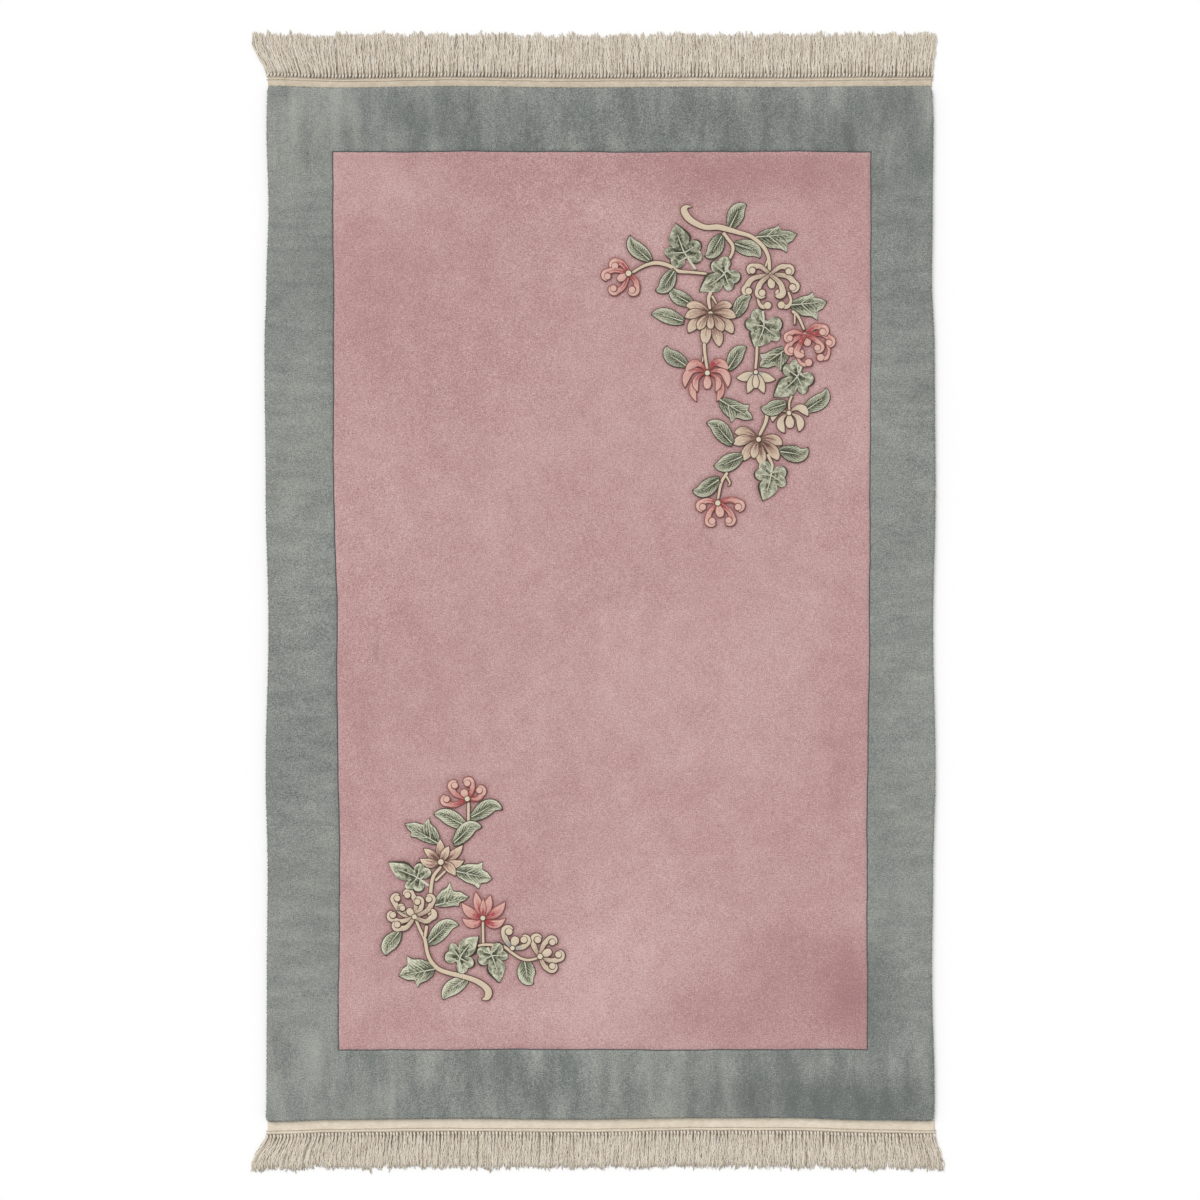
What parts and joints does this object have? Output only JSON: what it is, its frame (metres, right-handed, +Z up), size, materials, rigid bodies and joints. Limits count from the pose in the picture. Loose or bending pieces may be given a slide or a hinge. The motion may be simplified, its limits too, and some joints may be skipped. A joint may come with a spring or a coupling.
{
  "type": "hand-knotted rug",
  "caption": "Oblong hand-knotted wool rug lying flat: carved flower sprays in two corners of a plain rose field, plain grey-green border, flat-woven cotton ends with knotted fringe.",
  "frame": {"origin": "middle of the rug's underside, on the floor", "axes": "+Z up out of the pile, +Y along the warp towards the end with the longer fringe, +X to the right as seen from above"},
  "size_m": [1.7172, 2.8523, 0.0162],
  "materials": {
    "wool_pile": "soft cut wool pile",
    "cotton_warp": "undyed twisted cotton"
  },
  "bodies": {
    "root": {"rug_body": "wool_pile", "fringe_top": "cotton_warp", "fringe_bottom": "cotton_warp"}
  },
  "joints": []
}
